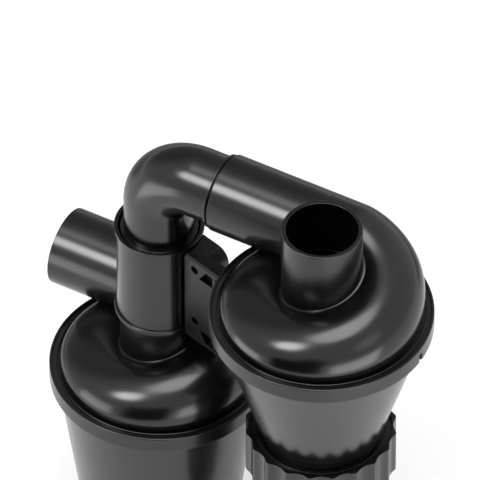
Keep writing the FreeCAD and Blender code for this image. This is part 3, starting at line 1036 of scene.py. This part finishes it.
def collar_piece():
    """The collar that holds the dust jar: a turned ring, toothed by its tree."""
    low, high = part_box("collar_nut")
    valley_r = COLLAR_R - TOOTH_HEIGHT
    inner_r = valley_r - COLLAR_WALL
    web_top = high.z - WEB_DROP
    web_low = web_top - WEB_THICK
    ridge_top = web_top + RIDGE_HEIGHT
    ridge_out = WEB_INNER + RIDGE_IN + RIDGE_WIDTH / 2
    ridge_in = WEB_INNER + RIDGE_IN - RIDGE_WIDTH / 2
    outline = rounded([
        (JAR_R, low.z, 0),
        (COLLAR_R - COLLAR_CHAMFER, low.z, EDGE_ROUND),
        (COLLAR_R, low.z + COLLAR_CHAMFER, EDGE_ROUND),
        (COLLAR_R, high.z, EDGE_ROUND),
        (inner_r, high.z, EDGE_ROUND),
        (inner_r, web_top, 0),
        (ridge_out, web_top, 0),
        (ridge_out, ridge_top, EDGE_ROUND),
        (ridge_in, ridge_top, EDGE_ROUND),
        (ridge_in, web_top, 0),
        (WEB_INNER, web_top, EDGE_ROUND),
        (WEB_INNER, web_low, 0),
        (JAR_R, web_low, 0),
    ])
    shape = bmesh.new()
    add_turned(shape, outline, Matrix.Identity(4), COLLAR_SIDES)
    tidy(shape)
    values = {
        "Teeth": COLLAR_TEETH,
        "Phase": math.radians(COLLAR_PHASE),
        "Tip": COLLAR_R,
        "Valley": valley_r,
        "HalfTooth": math.radians(TOOTH_HALF),
        "Crown": TOOTH_ROUND,
        "Level": low.z + 2 * COLLAR_CHAMFER,
        "Material": SATIN,
    }

    def cut_teeth(holder):
        use_tree(holder, tooth_tree(), values)

    mesh = settled(mesh_of(shape, "collar_ring"), "collar_teeth_ring", cut_teeth)
    mesh.transform(stand(axis_of("collar_nut")))
    return show("collar_teeth_ring", mesh, "satin_plastic", "collar_nut")


def shank_length():
    """Length of a screw's shank, from the bracket screws' CAD box along the screws."""
    low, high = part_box("bracket_screws")
    head_part = 2 * SCREW_HEAD * abs(math.sin(BRACKET_TURN))
    return (high.y - low.y - head_part) / math.cos(BRACKET_TURN) - SCREW_HEAD_THICK


def screw_mesh():
    """A pan-head screw about +Z, its head's face at zero, with a cross cut in it."""
    shank_end = -(SCREW_HEAD_THICK + shank_length())
    outline = rounded([
        (0, 0, 0),
        (SCREW_HEAD, 0, SCREW_HEAD_ROUND),
        (SCREW_HEAD, -SCREW_HEAD_THICK, 0),
        (SCREW_SHANK, -SCREW_HEAD_THICK, 0),
        (SCREW_SHANK, shank_end, EDGE_ROUND),
        (0, shank_end, 0),
    ])
    shape = bmesh.new()
    add_turned(shape, outline, Matrix.Identity(4), SCREW_SIDES, False)
    tidy(shape)
    corners = []
    for x, y in SQUARE:
        corners.append(Vector((x * SLOT_REACH, y * SLOT_HALF, -SLOT_DEPTH)))
    cutters = []
    for name, turn in (("slot", 0), ("cross_slot", math.pi / 2)):
        spin = Matrix.Rotation(turn, 4, "Z")
        outline = [spin @ corner for corner in corners]
        cutters.append(new_cutter(name, outline, Vector((0, 0, SLOT_CUT))))
    return cut_mesh(mesh_of(shape, "screw"), "one_screw", cutters)


def screw_tree():
    """Sets a screw on each point of the geometry, turned to face the bracket's front."""
    tree, given = new_tree(
        "bracket_screw_set", Screw="Object", Facing="Rotation", Material="Material")
    source = tree.nodes.new("GeometryNodeObjectInfo")
    tree.links.new(given["Screw"], source.inputs["Object"])
    points = tree.nodes.new("GeometryNodeMeshToPoints")
    tree.links.new(given["Geometry"], points.inputs[0])
    place = tree.nodes.new("GeometryNodeInstanceOnPoints")
    tree.links.new(points.outputs[0], place.inputs["Points"])
    tree.links.new(source.outputs["Geometry"], place.inputs["Instance"])
    tree.links.new(given["Facing"], place.inputs["Rotation"])
    end_tree(tree, place.outputs[0], given["Material"])
    return tree


def screws_piece():
    """Both bracket screws, set in the arm's front face by their tree."""
    low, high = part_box("bracket_arm")
    along = Vector((math.cos(BRACKET_TURN), math.sin(BRACKET_TURN), 0))
    front = Vector((math.sin(BRACKET_TURN), -math.cos(BRACKET_TURN), 0))
    face = SCREW_OUT * along + (SCREW_FACE - SCREW_SINK) * front
    heights = (low.z + SCREW_RISE, high.z - SCREW_DROP)
    screw = put("one_screw", screw_mesh())
    points = bpy.data.meshes.new("screw_places")
    points.from_pydata([face + Vector((0, 0, z)) for z in heights], [], [])
    facing = front.to_track_quat("Z", "Y").to_euler()
    values = {"Screw": screw, "Facing": facing, "Material": STEEL}

    def set_screws(holder):
        use_tree(holder, screw_tree(), values)

    mesh = settled(points, "bracket_screw_set", set_screws)
    bpy.data.objects.remove(screw)
    return show("bracket_screw_set", mesh, "screw_steel", "bracket_screws")


# ---- Bracket ----
def eased_copy(node, name, size):
    """The CAD node's shape with its sharp edges rounded over, in a duller plastic."""
    shape = bmesh.new()
    shape.from_mesh(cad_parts[node].data)
    bmesh.ops.remove_doubles(shape, verts=shape.verts, dist=SEAM)
    flat = math.radians(FLAT_ANGLE)
    bmesh.ops.dissolve_limit(shape, angle_limit=flat, verts=shape.verts, edges=shape.edges)
    bmesh.ops.recalc_face_normals(shape, faces=shape.faces)

    def ease(holder):
        edge = holder.modifiers.new("eased_edges", "BEVEL")
        edge.width = size
        edge.segments = EASE_STEPS
        edge.limit_method = "ANGLE"
        edge.angle_limit = math.radians(EASE_ANGLE)
        edge.use_clamp_overlap = True

    mesh = settled(mesh_of(shape, name), name, ease)
    return show(name, mesh, "black_plastic", node, finish=DULL)


# ---- Camera and studio ----
def view_axes():
    """The view's own right, its own up, and the way from the object to the camera."""
    turn = math.radians(VIEW_TURN)
    lift = math.radians(VIEW_LIFT)
    right = Vector((math.cos(turn), math.sin(turn), 0))
    level = Vector((math.sin(turn), -math.cos(turn), 0))
    back = math.cos(lift) * level + Vector((0, 0, math.sin(lift)))
    return right, back.cross(right), back


def camera():
    right, upward, back = view_axes()
    target = VIEW_ACROSS * right + VIEW_UPWARD * upward + MIDDLE.dot(back) * back
    data = bpy.data.cameras.new("camera")
    data.sensor_width = SENSOR
    data.lens = SENSOR * VIEW_DISTANCE / VIEW_WIDTH
    data.clip_start = NEAREST
    data.clip_end = FARTHEST
    eye = put("camera", data)
    eye.location = target + VIEW_DISTANCE * back
    eye.rotation_mode = "QUATERNION"
    eye.rotation_quaternion = back.to_track_quat("Z", "Y")
    bpy.context.scene.camera = eye


def matt_material(name, scale, dark, light):
    """A material without gloss, mottled between two greys."""
    material, tree, shader, place = blank_material(name)
    mottle = noise(tree, place, scale, 2)
    colour = grey_mix(tree, mottle, grey(dark), grey(light))
    tree.links.new(colour, shader.inputs["Base Color"])
    shader.inputs["Specular IOR Level"].default_value = 0.0
    return material, shader


def hide_but_gloss(item):
    """Leaves a studio object to be seen only in reflections."""
    item.visible_camera = False
    item.visible_diffuse = False
    item.visible_shadow = False


def floor():
    """A plain pale floor, bright enough to read as a studio sweep."""
    corners = [(x * FLOOR_REACH, y * FLOOR_REACH, FLOOR_LEVEL) for x, y in SQUARE]
    mesh = bpy.data.meshes.new("floor")
    mesh.from_pydata(corners, [], [(0, 1, 2, 3)])
    material, shader = matt_material("pale_floor", scale=3, dark=0.44, light=0.46)
    shader.inputs["Roughness"].default_value = 0.9
    shader.inputs["Emission Color"].default_value = (1, 1, 1, 1)
    shader.inputs["Emission Strength"].default_value = FLOOR_GLOW
    mesh.materials.append(material)
    put("floor", mesh)


def studio_direction(heading, lift):
    """A direction from the object, of length one."""
    turn = math.radians(VIEW_TURN + heading)
    rise = math.radians(lift)
    level = Vector((math.sin(turn), -math.cos(turn), 0))
    return math.cos(rise) * level + Vector((0, 0, math.sin(rise)))


def lobe(tree, heading, direction, half, edge):
    """One inside a cone of directions, falling smoothly to nothing at its edge."""
    dot = add_node(tree, "ShaderNodeVectorMath", operation="DOT_PRODUCT")
    tree.links.new(heading, dot.inputs[0])
    dot.inputs[1].default_value = studio_direction(*direction)
    outside = math.cos(math.radians(half + edge))
    inside = math.cos(math.radians(half))
    return ramp(tree, dot.outputs["Value"], outside, inside, kind="SMOOTHSTEP")


def studio_walls():
    """The surround: grey walls, darker behind the object, with soft lamps and a dark card."""
    world = bpy.data.worlds.new("studio")
    bpy.context.scene.world = world
    world.use_nodes = True
    tree = world.node_tree
    heading = add_node(tree, "ShaderNodeTexCoord").outputs["Generated"]
    direction, half, edge, depth = BACK_SHADE
    shade = maths(tree, "MULTIPLY", lobe(tree, heading, direction, half, edge), depth)
    total = maths(tree, "SUBTRACT", WALL_GLOW, shade)
    card = lobe(tree, heading, *DARK_CARD)
    total = maths(tree, "MULTIPLY", total, maths(tree, "SUBTRACT", 1.0, card))
    for direction, half, edge, strength in LAMPS:
        lamp = lobe(tree, heading, direction, half, edge)
        total = maths(tree, "ADD", total, maths(tree, "MULTIPLY", lamp, strength))
    split = add_node(tree, "ShaderNodeSeparateXYZ")
    tree.links.new(heading, split.inputs[0])
    height = maths(tree, "ABSOLUTE", split.outputs["Z"])
    level = maths(tree, "LESS_THAN", height, HORIZON_BAND)
    total = maths(tree, "MAXIMUM", total, maths(tree, "MULTIPLY", level, HORIZON_GLOW))
    background = tree.nodes["Background"]
    tree.links.new(total, background.inputs["Color"])
    bpy.context.scene.view_settings.view_transform = "Standard"


def panel_place(heading, height):
    """Centre and turn of an upright panel that faces the object from a heading."""
    out = studio_direction(heading, 0)
    centre = MIDDLE + PANEL_DISTANCE * out
    centre.z = CLEAR_OF_FLOOR + height / 2
    return centre, out.to_track_quat("Z", "Y")


def panels():
    """Low soft boxes either side of the camera."""
    for i, (heading, half, height, radiance) in enumerate(PANELS):
        name = f"low_panel_{i}"
        data = bpy.data.lights.new(name, "AREA")
        data.shape = "RECTANGLE"
        data.size = 2 * PANEL_DISTANCE * math.tan(math.radians(half))
        data.size_y = height
        data.energy = math.pi * data.size * height * radiance
        lamp = put(name, data)
        lamp.rotation_mode = "QUATERNION"
        lamp.location, lamp.rotation_quaternion = panel_place(heading, height)
        lamp.visible_camera = False


def black_card():
    """A black card in front of the object, which only its gloss shows."""
    heading, half, height, distance = CARD
    out = studio_direction(heading, 0)
    across = out.cross(Vector((0, 0, 1))) * math.tan(math.radians(half))
    corners = []
    for z in (CLEAR_OF_FLOOR, height):
        for side in (-1, 1):
            corners.append(Vector((MIDDLE.x, MIDDLE.y, z)) + distance * (out + side * across))
    mesh = bpy.data.meshes.new("black_card")
    mesh.from_pydata(corners, [], [(0, 1, 3, 2)])
    material, shader = matt_material("black_flock", scale=500, dark=0, light=0.002)
    shader.inputs["Roughness"].default_value = 1.0
    mesh.materials.append(material)
    hide_but_gloss(put("black_card", mesh))


def floor_shade():
    """A greyer patch of floor behind the object, which only its gloss shows, fading to the rest."""
    heading, distance, core, edge, glow = FLOOR_SHADE
    centre = MIDDLE + distance * studio_direction(heading, 0)
    shape = bmesh.new()
    ring = []
    for i in range(PATCH_SIDES):
        angle = math.tau * i / PATCH_SIDES
        ring.append(shape.verts.new((edge * math.cos(angle), edge * math.sin(angle), 0)))
    shape.faces.new(ring)
    mesh = mesh_of(shape, "floor_shade")
    material, tree, shader, place = blank_material("shaded_floor")
    size = add_node(tree, "ShaderNodeVectorMath", operation="LENGTH")
    tree.links.new(place, size.inputs[0])
    fade = ramp(tree, size.outputs["Value"], core, edge, glow, 1.0, "SMOOTHSTEP")
    shader.inputs["Base Color"].default_value = (0, 0, 0, 1)
    shader.inputs["Specular IOR Level"].default_value = 0.0
    shader.inputs["Emission Color"].default_value = (1, 1, 1, 1)
    tree.links.new(fade, shader.inputs["Emission Strength"])
    mesh.materials.append(material)
    patch = put("floor_shade", mesh)
    patch.location = (centre.x, centre.y, CLEAR_OF_FLOOR / 2)
    hide_but_gloss(patch)


# ---- Build ----
for stage_name in STAGES:
    stage = Stage(stage_name)
    roof_piece(stage)
    outlet_piece(stage)
    band_piece(stage)
    flange_piece(stage)
bodies()
elbow_piece()
stop_piece()
sleeve_piece()
collar_piece()
screws_piece()
eased_copy("bracket_arm", "bracket_arm_plate", ARM_EASE)
eased_copy("sleeve_tab", "sleeve_tab_block", TAB_EASE)
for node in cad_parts.values():
    slot_name = node.data.materials[0].name if node.data.materials else "black_plastic"
    node.data.materials.clear()
    node.data.materials.append(FINISHES.get(slot_name.split(".")[0], GLOSS))
camera()
floor()
studio_walls()
panels()
black_card()
floor_shade()
